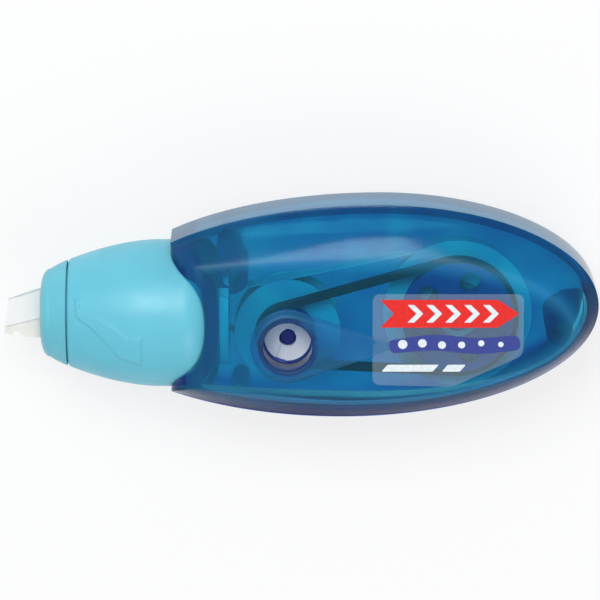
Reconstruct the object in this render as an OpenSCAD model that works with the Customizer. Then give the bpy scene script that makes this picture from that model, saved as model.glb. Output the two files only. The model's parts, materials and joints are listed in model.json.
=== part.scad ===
// Twist-nose correction tape roller, lying on its back face.
// Working frame: x runs from the tip's edge to the tail, y = 0 and z = 0 lie on the nose axis,
// and z points out of the printed face. place() moves the pieces into the part's own frame.

/* [Casing outline] */
// Tip's edge to the casing's front edge
tip_reach = 30.3; // [29.8:0.1:31]
// Casing's front edge to its tail
casing_len = 76.9; // [74:0.1:82]
// Height of the casing's middle line above the nose axis
casing_lift = 2.6; // [2:0.1:3.2]
// Middle line to the top of the outline
casing_up = 18.6; // [17.8:0.1:20]
// Middle line to the bottom of the outline
casing_down = 20.5; // [19.8:0.1:22]
// Casing's front edge to the highest point
top_crest = 37.7; // [34:0.1:41]
// Casing's front edge to the lowest point
bottom_crest = 30.7; // [28:0.1:35]
// Half-length of the top ellipse ahead of the highest point
top_front_run = 48.5; // [46:0.1:52]
// Half-length of the bottom ellipse ahead of the lowest point
bottom_front_run = 48; // [45:0.1:52]

/* [Casing section] */
// Thickness from face to face
casing_t = 22.4; // [21.6:0.1:24]
// Depth of the straight band round the edge
band_t = 11.5; // [10:0.1:13]
// Wall of both shells
wall = 1.5; // [1.2:0.05:1.8]
// Nose axis to the top edge of the flat face
face_up = 12.2; // [11.6:0.1:13]
// Nose axis to the bottom edge of the flat face
face_down = 12.6; // [12:0.1:13.4]
// Tail to the end of the flat face
face_tail_gap = 4.3; // [3.6:0.1:5]
// Outward swell of the sloped border
slope_swell = 0.1; // [0:0.01:0.2]
// Rounding of the casing's front edges
front_round = 6; // [5:0.1:7]
// Wall of the bulkhead round the collar
bulkhead_wall = 1.8; // [1.5:0.1:2.2]

/* [Bosses and spindles] */
// Upper front socket, distance behind the casing's front edge
socket_a_x = 10.8; // [10:0.1:12]
// Upper front socket, height above the nose axis
socket_a_y = 7.8; // [7.6:0.1:9]
// Tail socket, distance ahead of the tail
socket_b_gap = 6.3; // [6:0.1:8]
// Tail socket, height above the nose axis
socket_b_y = -2; // [-3:0.1:0]
// Lower front post, distance behind the casing's front edge
post_x = 12.4; // [11:0.1:14]
// Lower front post, height above the nose axis
post_y = -13.9; // [-14.2:0.1:-13]
// Outer radius of a socket
socket_r = 3.1; // [2.8:0.05:3.2]
// Hole radius of a socket
socket_bore_r = 1.6; // [1.4:0.05:1.8]
// Radius of the lower front post
post_r = 1.7; // [1.4:0.05:2]
// Depth of a cover pin in its socket
pin_depth = 4; // [2:0.1:8]

/* [Spools] */
// Take-up spindle, distance behind the casing's front edge
take_up_x = 21; // [20.5:0.1:22]
// Take-up spindle, height above the nose axis
take_up_y = -3.5; // [-4:0.1:-3]
// Distance between the spindles along the casing
spindle_gap = 30.7; // [30:0.1:32]
// Supply spindle, height above the nose axis
supply_y = 0; // [0:0.1:0.4]
// Radius of the take-up spindle
take_up_pin_r = 1.5; // [1.3:0.05:1.7]
// Radius of the supply spindle
supply_pin_r = 2.4; // [2:0.05:2.5]
// Radius of the take-up core
take_up_core_r = 3.5; // [3.2:0.05:3.8]
// Radius of the supply core
supply_core_r = 4; // [3.8:0.05:4.6]
// Radius of the take-up flanges
take_up_flange_r = 9.6; // [9.2:0.1:10.4]
// Radius of the supply spool's front flange
supply_flange_r = 13.4; // [12.8:0.1:13.4]
// Radius of the supply spool's rear flange
supply_rear_r = 12.6; // [12:0.1:12.6]
// Thickness of a flange
flange_t = 0.7; // [0.5:0.05:0.9]
// Radius of the fresh tape roll
tape_roll_r = 12; // [8:0.1:12]
// Radius of the spent ribbon roll
used_roll_r = 5.4; // [4.5:0.1:6]
// Width of the tape
tape_w = 5; // [4.2:0.1:5.2]
// Thickness of a tape run
tape_t = 0.15; // [0.1:0.01:0.2]
// Height of the tape's middle plane
tape_plane = -3.2; // [-3.4:0.1:-3]
// Thickness of the clutch washer
washer_t = 0.5; // [0.3:0.05:0.6]

/* [Belt drive] */
// Groove radius of the small pulley
small_pulley_r = 4.6; // [4.3:0.05:5]
// Groove radius of the large pulley
large_pulley_r = 9.6; // [9:0.05:10]
// Height of a pulley's rim above its groove
rim_h = 0.5; // [0.3:0.05:0.8]
// Thickness of a pulley's rim
rim_t = 0.4; // [0.3:0.05:0.6]
// Width of the belt
belt_w = 2.2; // [1.6:0.1:2.4]
// Thickness of the belt
belt_t = 1.3; // [1:0.05:1.5]

/* [Hub and well] */
// Radius of the slotted hub
hub_r = 4.2; // [4:0.05:4.3]
// Thickness of the slotted hub
hub_t = 0.9; // [0.8:0.05:1.2]
// Width of the hub's slot
slot_w = 1.8; // [1.4:0.05:2.2]
// Depth of the hub's slot
slot_depth = 0.6; // [0.4:0.05:0.7]
// Direction of the hub's slot
slot_angle = 72; // [60:1:80]
// Radius of the well above the hub
well_r = 4.4; // [4.3:0.05:4.6]
// Wall of the well's tube
well_wall = 0.9; // [0.7:0.05:1.1]
// Radius of the raised boss round the well
boss_r = 6.2; // [5.8:0.1:6.6]
// Height of the raised boss above the face
boss_h = 0.8; // [0.5:0.05:1]
// Length of the boss's tail
boss_tail = 14; // [11:0.1:14.1]

/* [Collar] */
// Tip's edge to the seam between sleeve and collar
seam_x = 11.6; // [11.4:0.1:12]
// Collar radius at the seam
seam_r = 9.6; // [9.5:0.05:9.9]
// Largest radius of the collar
collar_r = 13.3; // [13.1:0.05:13.5]
// Length over which the collar swells
swell_len = 16.4; // [15:0.1:17]
// Tip's edge to the collar's rear end
collar_end = 36.9; // [36.4:0.1:37.4]
// Rounding of the collar's rear end
collar_round = 4.4; // [4:0.1:4.8]
// Wall of the collar
collar_wall = 1.3; // [1.1:0.05:1.4]
// Tip's edge to the collar's bearing web
web_x = 28.4; // [28:0.1:29]
// Thickness of the bearing web
web_t = 2; // [1.6:0.1:2.2]
// Height of the raised arrow
arrow_h = 0.35; // [0.2:0.05:0.5]

/* [Nose] */
// Tip's edge to the sleeve's front face
nose_x = 6.7; // [6.5:0.1:7]
// Radius of the sleeve's flat front face
nose_flat_r = 4.5; // [4.2:0.1:4.8]
// Radius of the sleeve where its rounding ends
nose_shoulder_r = 8; // [7.8:0.05:8.2]
// Wall of the sleeve
sleeve_wall = 1.2; // [1:0.05:1.3]
// Outer radius of the sleeve's skirt
skirt_r = 8.5; // [8.4:0.05:8.6]
// Tip's edge to the rear end of the skirt
skirt_end = 26.8; // [26.6:0.1:27]
// Travel of the sleeve
travel = 8; // [6:0.1:8]
// Turn of the collar for that travel
twist_angle = 180; // [160:5:180]
// Radius of the lugs' round
lug_r = 0.7; // [0.5:0.05:0.8]
// Gap between the cam ring and the inside of the collar
cam_fit = 0.15; // [0.1:0.05:0.3]
// Width of the sleeve's keys
key_w = 1.4; // [1:0.1:1.8]

/* [Nose core and tip] */
// Tip's edge to the nose core's front face
core_x = 10.2; // [10:0.1:10.6]
// Outer radius of the core's guide tube
guide_r = 7.2; // [7.1:0.02:7.3]
// Bore radius of the core
core_bore_r = 6.2; // [6:0.05:6.3]
// Radius of the collar's bearing
bearing_r = 7.6; // [7.5:0.02:7.7]
// Thickness of the core's front wall
core_wall = 2.5; // [2:0.1:2.8]
// Thickness of the tip at its root
tip_t = 2; // [1.8:0.05:2.2]
// Thickness of the tip at its edge
tip_edge_t = 0.6; // [0.4:0.05:0.8]
// Width of the tip's stem
stem_w = 6; // [5.6:0.1:6.2]

/* [Label] */
// Thickness of the label film
label_t = 0.12; // [0.08:0.01:0.2]
// Casing's front edge to the label
label_x = 36.2; // [36.1:0.1:37]
// Length of the label
label_len = 27; // [24:0.1:28]
// Nose axis to the label's top edge
label_up = 6.2; // [5:0.1:7]
// Nose axis to the label's bottom edge
label_down = 10.9; // [9:0.1:11]

/* [Clearances] */
// Gap between the collar and the casing
mouth_gap = 0.3; // [0.25:0.05:0.4]
// Radial gap of a running fit
run_gap = 0.05; // [0.03:0.01:0.08]
// Radial gap of the sliding sleeve
slide_gap = 0.15; // [0.1:0.01:0.2]
// Axial gap between turning and fixed pieces
axial_gap = 0.3; // [0.2:0.05:0.4]
// Gap at the seam
seam_gap = 0.2; // [0.15:0.05:0.3]

/* [Hidden] */
$fn = 96;
eps = 0.01;

tail_x = tip_reach + casing_len;
half_t = casing_t / 2;
half_band = band_t / 2;
top_cx = tip_reach + top_crest;
bottom_cx = tip_reach + bottom_crest;
face_end = tail_x - face_tail_gap;
face_cy = (face_up - face_down) / 2;
face_half = (face_up + face_down) / 2;
face_cx = top_cx - 1.3;
face_run = 70;
start_x = tip_reach - 2.3;
half_steps = 30;
slope_steps = [0, 0.33, 0.67, 1];

floor_z = -half_t + wall;
ceiling_z = half_t - wall;
c1 = [tip_reach + take_up_x, take_up_y];
c2 = [c1[0] + spindle_gap, supply_y];

flange_gap = tape_w + 2 * axial_gap;
rear_flange_z = tape_plane - flange_gap / 2 - flange_t;
front_flange_z = tape_plane + flange_gap / 2;
pulley_z = front_flange_z + flange_t + washer_t;
groove_w = belt_w + 0.2;
pulley_t = groove_w + 2 * rim_t;
belt_z = pulley_z + rim_t + 0.1;
hub_z = pulley_z + pulley_t;
hub_top = hub_z + hub_t;
well_bottom = hub_top + 0.5;
well_top = half_t + boss_h;
neck_r = supply_core_r - 0.6;
hub_neck_r = take_up_core_r - 0.7;

void_r = collar_r + mouth_gap;
void_end = collar_end + mouth_gap;
void_round = collar_round + mouth_gap;
bulkhead_end = void_end + bulkhead_wall;
shoulder_r = bearing_r + 0.7;
core_flange_t = 1.6;
core_flange_r = bearing_r + 1.7;
core_end = bulkhead_end + axial_gap / 3 + core_flange_t;
flare_r = core_bore_r + 1.2;
lug_x = skirt_end - 1.2;
cam_inner_r = skirt_r + 0.2;
cam_start = lug_x - travel - 2;
cam_end = web_x - 0.1;
swell_power = 1.75;
cam_r = swell_r(cam_start) - collar_wall - cam_fit;
sleeve_bore_r = guide_r + slide_gap;

function mix(a, b, t) = a + (b - a) * t;
function start_angle(cx, run) = acos((start_x - cx) / run);

// Outline of the casing, moved in by d: from the top front over the tail to the bottom front
function outline(d) = concat(
    [for (i = [0 : half_steps])
        let (run = top_front_run - d, a = start_angle(top_cx, run) * (1 - i / half_steps))
        [top_cx + (a > 90 ? run : tail_x - top_cx - d) * cos(a),
         casing_lift + (casing_up - d) * sin(a)]],
    [for (i = [1 : half_steps])
        let (run = bottom_front_run - d, a = start_angle(bottom_cx, run) * i / half_steps)
        [bottom_cx + (a > 90 ? run : tail_x - bottom_cx - d) * cos(a),
         casing_lift - (casing_down - d) * sin(a)]]
);

// Edge of the flat face, moved in by d
function face_edge(d) = concat(
    [for (i = [0 : half_steps])
        let (a = start_angle(face_cx, face_run) * (1 - i / half_steps))
        [face_cx + (a > 90 ? face_run : face_end - face_cx - d) * cos(a),
         face_cy + (face_half - d) * sin(a)]],
    [for (i = [1 : half_steps])
        let (a = start_angle(face_cx, face_run) * i / half_steps)
        [face_cx + (a > 90 ? face_run : face_end - face_cx - d) * cos(a),
         face_cy - (face_half - d) * sin(a)]]
);

// One ring of the sloped border: s = 0 at the band, s = 1 at the face; side is 1 or -1
function slope_ring(d, s, side) =
    let (
        o = outline(d),
        f = face_edge(0.35 * d),
        low = half_band - 0.57 * d,
        high = half_t - d,
        z = side * mix(low, high, s + slope_swell * sin(180 * s))
    )
    [for (i = [0 : len(o) - 1]) [mix(o[i][0], f[i][0], s), mix(o[i][1], f[i][1], s), z]];

function band_ring(d, z) = [for (p = outline(d)) [p[0], p[1], z]];

// A closed skin through rings of equal length, with flat ends; one side may be split the other way
module skin(rings, turned = -1) {
    n = len(rings[0]);
    last = len(rings) - 1;
    points = [for (r = rings) each r];
    sides = [for (k = [0 : last - 1]) for (i = [0 : n - 1])
        let (j = (i + 1) % n)
        each i == turned
            ? [[k * n + i, k * n + j, (k + 1) * n + i], [k * n + j, (k + 1) * n + j, (k + 1) * n + i]]
            : [[k * n + i, k * n + j, (k + 1) * n + j], [k * n + i, (k + 1) * n + j, (k + 1) * n + i]]];
    first_cap = [for (i = [n - 1 : -1 : 0]) i];
    last_cap = [for (i = [0 : n - 1]) last * n + i];
    polyhedron(points, concat(sides, [first_cap, last_cap]), convexity = 6);
}

// Moves a piece from the working frame to the part's own frame
module place() {
    translate([-tail_x / 2, -casing_lift - (casing_up - casing_down) / 2, collar_r]) children();
}

// Turns a shape drawn round z so that its axis is the nose axis
module along_nose() {
    rotate([0, 90, 0]) children();
}

module nose_tube(x0, x1, r) {
    translate([x0, 0, 0]) along_nose() cylinder(r = r, h = x1 - x0);
}

// A cylinder round the nose axis with a rounded rear end
module round_ended(x0, x1, r, round_r) {
    along_nose() rotate_extrude() {
        translate([0, x0]) square([r, x1 - x0 - round_r]);
        translate([0, x0]) square([r - round_r, x1 - x0]);
        intersection() {
            translate([r - round_r, x1 - round_r]) circle(round_r);
            translate([0, x0]) square([r + round_r, x1 - x0]);
        }
    }
}

module post(c, r, z0, z1) {
    translate([c[0], c[1], z0]) cylinder(r = r, h = z1 - z0);
}

// Prism over the plan between two heights
module prism(z0, z1) {
    translate([0, 0, z0]) linear_extrude(z1 - z0) children();
}

// Side view of the casing with its rounded front edges
module front_rounding() {
    rotate([90, 0, 0]) linear_extrude(2 * tail_x, center = true) {
        translate([tip_reach + front_round, -half_t]) square([tail_x, casing_t]);
        translate([tip_reach, front_round - half_t]) square([tail_x, casing_t - 2 * front_round]);
        for (side = [-1, 1])
            translate([tip_reach + front_round, side * (half_t - front_round)]) circle(front_round);
    }
}

module collar_void() {
    round_ended(0, void_end, void_r, void_round);
}

// Wall of the casing behind the collar, with the hole for the nose core
module bulkhead() {
    intersection() {
        round_ended(tip_reach, bulkhead_end, void_r + bulkhead_wall, void_round + bulkhead_wall);
        prism(-half_t, half_t) polygon(outline(0.3));
    }
}

socket_a = [tip_reach + socket_a_x, socket_a_y];
socket_b = [tail_x - socket_b_gap, socket_b_y];
post_c = [tip_reach + post_x, post_y];
back_rings = concat(
    [for (i = [len(slope_steps) - 1 : -1 : 0]) slope_ring(0, slope_steps[i], -1)],
    [band_ring(0, half_band)],
    [band_ring(wall, half_band)],
    [for (s = slope_steps) slope_ring(wall, s, -1)]
);
cover_steps = [0.17, 0.4, 0.7, 1];
cover_rings = concat(
    [for (i = [len(cover_steps) - 1 : -1 : 0]) slope_ring(wall, cover_steps[i], 1)],
    [for (s = slope_steps) slope_ring(0, s, 1)]
);

// The casing's form halfway into its walls: everything inside stays within it
core_rings = concat(
    [for (i = [len(slope_steps) - 1 : -1 : 0]) slope_ring(wall / 2, slope_steps[i], -1)],
    [for (s = slope_steps) slope_ring(wall / 2, s, 1)]
);

module socket(c, wall_point) {
    post(c, socket_r, floor_z - wall / 2, half_band);
    prism(floor_z - wall / 2, half_band) polygon(web_outline(c, wall_point));
}

// Web that tapers from a socket to the band
function web_outline(c, w) =
    let (d = w - c, u = d / norm(d), n = [-u[1], u[0]])
    [c + n * socket_r * 0.9, w + n * 1.1, w - n * 1.1, c - n * socket_r * 0.9];

module back_shell() {
    color([0.05, 0.45, 0.85, 0.55]) place() difference() {
        intersection() {
            union() {
                skin(back_rings);
                intersection() {
                    bulkhead();
                    prism(-half_t, half_band) square(3 * tail_x, center = true);
                }
                intersection() {
                    union() {
                        socket(socket_a, socket_a + [-1.2, 8.9]);
                        socket(socket_b, socket_b + [4.2, 4.2]);
                        post(post_c, post_r, floor_z - wall / 2, half_band);
                        prism(floor_z - wall / 2, half_band)
                            translate([post_c[0], post_c[1] - 0.7]) square([2 * post_r, 1.4], center = true);
                    }
                    skin(core_rings);
                }
                post(c1, take_up_pin_r, floor_z - wall / 2, hub_z);
                post(c1, take_up_pin_r + 2, floor_z - wall / 2, rear_flange_z - axial_gap);
                post(c2, supply_pin_r, floor_z - wall / 2, hub_z);
                post(c2, supply_pin_r + 3, floor_z - wall / 2, rear_flange_z - axial_gap);
            }
            front_rounding();
        }
        collar_void();
        nose_tube(void_end - 1, tip_reach + socket_a_x, shoulder_r + run_gap);
        post(socket_a, socket_bore_r, half_band - pin_depth - 0.5, half_band + eps);
        post(socket_b, socket_bore_r, half_band - pin_depth - 0.5, half_band + eps);
    }
}

// Plan of the raised boss: a round end with a tapered tail
module boss_plan() {
    translate(c1) circle(boss_r);
    apex = c1 + [boss_tail, 0];
    a = acos((boss_r - 0.8) / boss_tail);
    big = boss_r - 0.02;
    small = 0.8 - 0.02;
    translate(apex) circle(0.8);
    polygon([
        c1 + big * [cos(a), sin(a)], apex + small * [cos(a), sin(a)],
        apex + small * [cos(a), -sin(a)], c1 + big * [cos(a), -sin(a)]
    ]);
}

module front_cover() {
    color([0, 0.6, 0.9, 0.4]) place() difference() {
        union() {
            intersection() {
                union() {
                    skin(cover_rings);
                    intersection() {
                        bulkhead();
                        prism(half_band, half_t) square(3 * tail_x, center = true);
                    }
                    intersection() {
                        union() {
                            tube(c2, large_pulley_r + 2.6, large_pulley_r + 1.8, hub_z + axial_gap, half_t);
                            for (c = [socket_a, socket_b])
                                post(c, socket_bore_r - 0.1, half_band - pin_depth, half_t);
                        }
                        skin(core_rings);
                    }
                }
                front_rounding();
            }
            prism(ceiling_z - 0.3, well_top) boss_plan();
            post(c1, well_r + well_wall, well_bottom, half_t - wall / 2);
        }
        collar_void();
        nose_tube(void_end - 1, tip_reach + socket_a_x, shoulder_r + run_gap);
        post(c1, well_r, 0, well_top + eps);
    }
}

module label_film() {
    x0 = tip_reach + label_x;
    color([0.9, 0.1, 0.1]) place()
        prism(half_t, half_t + label_t)
            polygon([
                [x0, label_up], [x0 + label_len, label_up], [x0 + label_len, -label_down / 2],
                [x0 + 0.55 * label_len, -label_down], [x0, -label_down]
            ]);
}

// Fixed core: carries the collar, guides the sleeve and holds the tip
module nose_core() {
    color([0.85, 0.9, 0.93]) place() difference() {
        union() {
            nose_tube(core_x, web_x, guide_r);
            nose_tube(web_x - 1, web_x - 0.1, bearing_r + 0.4);
            nose_tube(web_x - 1, web_x + web_t + 0.1, bearing_r);
            nose_tube(web_x + web_t + 0.1, core_end, shoulder_r);
            difference() {
                nose_tube(core_end - core_flange_t, core_end, core_flange_r);
                post(socket_a, socket_r + slide_gap, -half_t, half_t);
            }
        }
        nose_tube(core_x + core_wall, core_end + eps, core_bore_r);
        nose_tube(web_x + web_t + 1, core_end + eps, flare_r);
        translate([core_x - eps, -stem_w / 2 - run_gap, -tip_t / 2 - run_gap])
            cube([core_wall + 1, stem_w + 2 * run_gap, tip_t + 2 * run_gap]);
        translate([core_x - eps, -0.6, -tip_t / 2 - 0.6])
            cube([core_wall + 1, tape_w + 1.4, tip_t + 1.2]);
        for (side = [-1, 1])
            translate([core_x - eps, -key_w / 2 - slide_gap, side > 0 ? guide_r - 0.5 : -guide_r - 1])
                cube([web_x - 1 - core_x, key_w + 2 * slide_gap, 1.5]);
    }
}

tip_plan = [
    [0, -3.6], [0.3, -3.9], [1.5, -4], [1.8, -3.4], [2.7, -3.4], [3.1, -4], [3.8, -4.3], [7.4, -4.5],
    [8.6, -4.2], [8.6, 4.6], [7.4, 4.4], [3.6, 2.9], [3.4, 2.2], [2.5, 2.2], [2.35, 2.7], [1.3, 2.7],
    [0.9, 2.4]
];

module applicator_tip() {
    root_x = tip_plan[8][0];
    stem_end = core_x + core_wall + 0.9;
    color([0.93, 0.93, 0.9]) place() {
        intersection() {
            prism(-tip_t, tip_t) polygon(tip_plan);
            rotate([90, 0, 0]) linear_extrude(4 * tape_w, center = true)
                polygon([
                    [-eps, -tip_edge_t / 2], [0, tip_edge_t / 2], [nose_x - 1, tip_t / 2],
                    [root_x, tip_t / 2], [root_x, -tip_t / 2], [nose_x - 1, -tip_t / 2]
                ]);
        }
        translate([root_x - eps, -stem_w / 2, -tip_t / 2])
            cube([stem_end - root_x, stem_w, tip_t]);
        translate([core_x + core_wall, -stem_w / 2 - 0.6, -tip_t / 2])
            cube([0.9, 3, tip_t]);
    }
}

// Ribbon through stations [point, width direction]
module ribbon(stations) {
    n = len(stations);
    function dir(i) =
        let (a = stations[max(i - 1, 0)][0], b = stations[min(i + 1, n - 1)][0])
        (b - a) / norm(b - a);
    rings = [for (i = [0 : n - 1])
        let (
            p = stations[i][0],
            u = stations[i][1] / norm(stations[i][1]),
            v = cross(dir(i), u),
            m = v / norm(v) * tape_t / 2,
            h = u * tape_w / 2
        )
        [p - h - m, p - h + m, p + h + m, p + h - m]];
    skin(rings, turned = 3);
}

// Point where a line from p touches a circle of radius r; side chooses the upper or lower one
function touch(c, r, p, side) =
    let (d = p - c, a = atan2(d[1], d[0]) - side * acos(r / norm(d)))
    c + r * [cos(a), sin(a)];

run_z = tip_t / 2 + 0.1 + tape_t / 2;
edge_z = tip_edge_t / 2 + 0.2 + tape_t / 2;
turn_x = core_x + core_wall + 1.5;
entry_x = core_end - 0.6;
feed_entry = [entry_x, 3.6];
return_entry = [entry_x, -3];
edge_dir = [0.147, 0.989, 0];

// Stations from the quarter turn to the tip's edge, on the upper or lower face
function tip_stations(side) = [
    [[nose_x + 1.4, 2.15, side * run_z], [0, -1, 0]],
    [[nose_x - 1, 1.6, side * run_z], [0, -1, 0]],
    [[0.85, 0.15, side * edge_z], -edge_dir],
    [[0.45, 0.05, side * edge_z], -edge_dir]
];

function turn_stations(entry, side) = [for (i = [0 : 16])
    let (t = i / 16, b = 90 * t, y = mix(entry[1], 3, t), z = mix(tape_plane, side * run_z, t))
    [[mix(entry[0], turn_x, t), y, z], [0, -sin(b), cos(b)]]];

module feed_tape() {
    start = touch(c2, tape_roll_r + tape_t / 2 + 0.2, feed_entry, 1);
    color([0.97, 0.97, 0.97]) place() ribbon(concat(
        [[[start[0], start[1], tape_plane], [0, 0, 1]]],
        turn_stations(feed_entry, 1),
        tip_stations(1)
    ));
}

module return_tape() {
    start = touch(c1, used_roll_r + tape_t / 2 + 0.2, return_entry, -1);
    color([0.8, 0.85, 0.88]) place() ribbon(concat(
        [[[start[0], start[1], tape_plane], [0, 0, 1]]],
        turn_stations(return_entry, -1),
        tip_stations(-1)
    ));
}

// Outline of a loop round both spindles
module loop_plan(r1, r2) {
    d = c2 - c1;
    a = acos((r1 - r2) / norm(d));
    b = atan2(d[1], d[0]);
    s1 = r1 - 0.02;
    s2 = r2 - 0.02;
    translate(c1) circle(r1);
    translate(c2) circle(r2);
    polygon([
        c1 + s1 * [cos(b + a), sin(b + a)], c1 + s1 * [cos(b - a), sin(b - a)],
        c2 + s2 * [cos(b - a), sin(b - a)], c2 + s2 * [cos(b + a), sin(b + a)]
    ]);
}

module drive_belt() {
    in_1 = small_pulley_r + run_gap;
    in_2 = large_pulley_r + run_gap;
    color([0.08, 0.1, 0.12]) place() prism(belt_z, belt_z + belt_w) difference() {
        loop_plan(in_1 + belt_t, in_2 + belt_t);
        loop_plan(in_1, in_2);
    }
}

// Radius of the collar's outside at x, swelling from the seam
function swell_r(x) =
    let (u = min(1, max(0, (x - seam_x) / swell_len)))
    seam_r + (collar_r - seam_r) * (1 - pow(1 - u, swell_power));

swell_steps = 14;
function collar_profile(d) = concat(
    [[0, seam_x + seam_gap / 2]],
    [for (i = [0 : swell_steps])
        let (x = seam_x + seam_gap / 2 + (swell_len - seam_gap / 2) * i / swell_steps)
        [swell_r(x) - d, x]],
    [[collar_r - d, collar_end - collar_round], [0, collar_end - collar_round]]
);

module collar_solid(d) {
    along_nose() rotate_extrude() polygon(collar_profile(d));
    round_ended(seam_x + swell_len, collar_end - max(d, 0), collar_r - d, collar_round - max(d, 0));
}

// Curved arrow in plan, pointing round the nose
arrow_plan = [
    [13.2, 5.3], [13.9, 5.3], [14.2, 3.2], [17, 2.2], [20, 0.6], [22.6, -1.4], [25.2, -1.4],
    [25.2, -6.9], [21, -5.4], [18.6, -2.6], [16.2, -0.2], [13.4, 1.6]
];

module twist_collar() {
    color([0.45, 0.78, 0.85]) place() {
        difference() {
            collar_solid(0);
            nose_tube(0, seam_x + 1.4, skirt_r + slide_gap);
            intersection() {
                collar_solid(collar_wall);
                union() {
                    nose_tube(seam_x + 1.3, web_x, 2 * collar_r);
                    nose_tube(web_x + web_t, 2 * collar_end, 2 * collar_r);
                }
            }
            nose_tube(0, web_x + web_t + 1, bearing_r + run_gap);
            nose_tube(web_x + web_t, 2 * collar_end, shoulder_r + 1);
        }
        intersection() {
            difference() {
                collar_solid(-arrow_h);
                collar_solid(0.2);
            }
            prism(seam_r / 2, 2 * collar_r) polygon(arrow_plan);
        }
    }
}

// Ring fixed in the collar: its two helical slots push the sleeve's lugs
module cam_ring() {
    slot_len = travel + 2.2;
    slot_turn = twist_angle / travel * slot_len;
    half_slot = 24;
    color([0.85, 0.88, 0.9]) place() difference() {
        union() {
            nose_tube(cam_start, cam_end, cam_r);
            nose_tube(cam_end - 1.4, cam_end, collar_r - collar_wall - 0.2);
        }
        nose_tube(cam_start - eps, cam_end + eps, cam_inner_r);
        translate([lug_x - travel - 1.1, 0, 0]) along_nose()
            linear_extrude(slot_len, twist = -slot_turn, slices = 20, $fn = 12)
                for (side = [0, 180]) rotate(side - slot_turn * (travel + 1.1) / slot_len)
                    polygon(concat(
                        [for (k = [-1, 0, 1]) skirt_r * [cos(k * half_slot), sin(k * half_slot)] / 1.2],
                        [for (k = [1, 0, -1]) cam_r * [cos(k * half_slot), sin(k * half_slot)] * 1.2]
                    ));
    }
}

nose_round = (nose_shoulder_r - nose_flat_r) / 2;
function nose_profile(d) = concat(
    [[0, nose_x + d]],
    [for (i = [0 : 6])
        let (a = 15 * i)
        [nose_flat_r - d / 2 + (nose_shoulder_r - nose_flat_r - d / 2) * sin(a),
         nose_x + d + nose_round * (1 - cos(a))]],
    [[seam_r - d, seam_x - seam_gap / 2], [0, seam_x - seam_gap / 2]]
);

module nose_sleeve() {
    color([0.4, 0.75, 0.83]) place() {
        difference() {
            union() {
                along_nose() rotate_extrude() polygon(nose_profile(0));
                nose_tube(seam_x - seam_gap, skirt_end, skirt_r);
            }
            along_nose() rotate_extrude() polygon(nose_profile(sleeve_wall));
            nose_tube(core_x - 0.5, skirt_end + eps, sleeve_bore_r);
            translate([0, -4.9, -tip_t / 2 - 0.7]) cube([core_x, 9.8, tip_t + 1.4]);
        }
        for (side = [-1, 1]) {
            translate([core_x + 0.5, -key_w / 2, side > 0 ? guide_r - 0.3 : -sleeve_bore_r - 0.4])
                cube([skirt_end - core_x - 1, key_w, sleeve_bore_r + 0.7 - guide_r]);
            translate([lug_x, 0, 0]) rotate([90 - side * 90, 0, 0])
                translate([0, 0, sleeve_bore_r + 0.3]) cylinder(r = lug_r, h = cam_r - 0.1 - sleeve_bore_r - 0.3);
        }
    }
}

module tube(c, r_out, r_in, z0, z1) {
    difference() {
        post(c, r_out, z0, z1);
        post(c, r_in, z0 - eps, z1 + eps);
    }
}

module pulley(c, groove_r, bore_r) {
    difference() {
        union() {
            post(c, groove_r, pulley_z, pulley_z + pulley_t);
            post(c, groove_r + rim_h, pulley_z, pulley_z + rim_t);
            post(c, groove_r + rim_h, pulley_z + pulley_t - rim_t, pulley_z + pulley_t);
        }
        post(c, bore_r, pulley_z - eps, pulley_z + pulley_t + eps);
    }
}

module supply_spool() {
    color([0.85, 0.87, 0.9]) place() difference() {
        union() {
            post(c2, supply_rear_r, rear_flange_z, rear_flange_z + flange_t);
            post(c2, supply_core_r, rear_flange_z, front_flange_z);
            post(c2, neck_r, rear_flange_z, hub_z);
        }
        post(c2, supply_pin_r + run_gap, rear_flange_z - eps, hub_z + eps);
    }
}

module supply_flange() {
    color([0.8, 0.84, 0.88]) place()
        tube(c2, supply_flange_r, neck_r, front_flange_z, front_flange_z + flange_t);
}

module clutch_washer() {
    color([0.6, 0.6, 0.6]) place()
        tube(c2, supply_core_r + 2, neck_r, front_flange_z + flange_t, pulley_z);
}

module supply_pulley() {
    color([0.3, 0.25, 0.6]) place() difference() {
        pulley(c2, large_pulley_r, neck_r);
        for (i = [0 : 4])
            post(c2 + (large_pulley_r + supply_core_r) / 2 * [cos(72 * i), sin(72 * i)], 1.9,
                pulley_z - eps, pulley_z + pulley_t + eps);
    }
}

module tape_roll() {
    color([0.95, 0.95, 0.95]) place()
        tube(c2, tape_roll_r, supply_core_r, tape_plane - tape_w / 2, tape_plane + tape_w / 2);
}

module take_up_spool() {
    color([0.85, 0.87, 0.9]) place() difference() {
        union() {
            post(c1, take_up_flange_r, rear_flange_z, rear_flange_z + flange_t);
            post(c1, take_up_core_r, rear_flange_z, front_flange_z);
            post(c1, hub_neck_r, rear_flange_z, hub_z);
        }
        post(c1, take_up_pin_r + run_gap, rear_flange_z - eps, hub_z + eps);
    }
}

module take_up_flange() {
    color([0.8, 0.84, 0.88]) place()
        tube(c1, take_up_flange_r, hub_neck_r, front_flange_z, front_flange_z + flange_t);
}

module take_up_pulley() {
    color([0.3, 0.25, 0.6]) place() {
        pulley(c1, small_pulley_r, hub_neck_r);
        tube(c1, small_pulley_r - 0.6, hub_neck_r, front_flange_z + flange_t, pulley_z + eps);
    }
}

// Slotted white hub that tightens slack tape
module tension_hub() {
    color([0.95, 0.95, 0.96]) place() difference() {
        post(c1, hub_r, hub_z, hub_top);
        post(c1, take_up_pin_r + run_gap, hub_z - eps, hub_top + eps);
        translate([c1[0], c1[1], hub_top - slot_depth]) rotate(slot_angle)
            translate([-2 * hub_r, -slot_w / 2, 0]) cube([4 * hub_r, slot_w, hub_t]);
    }
}

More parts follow.
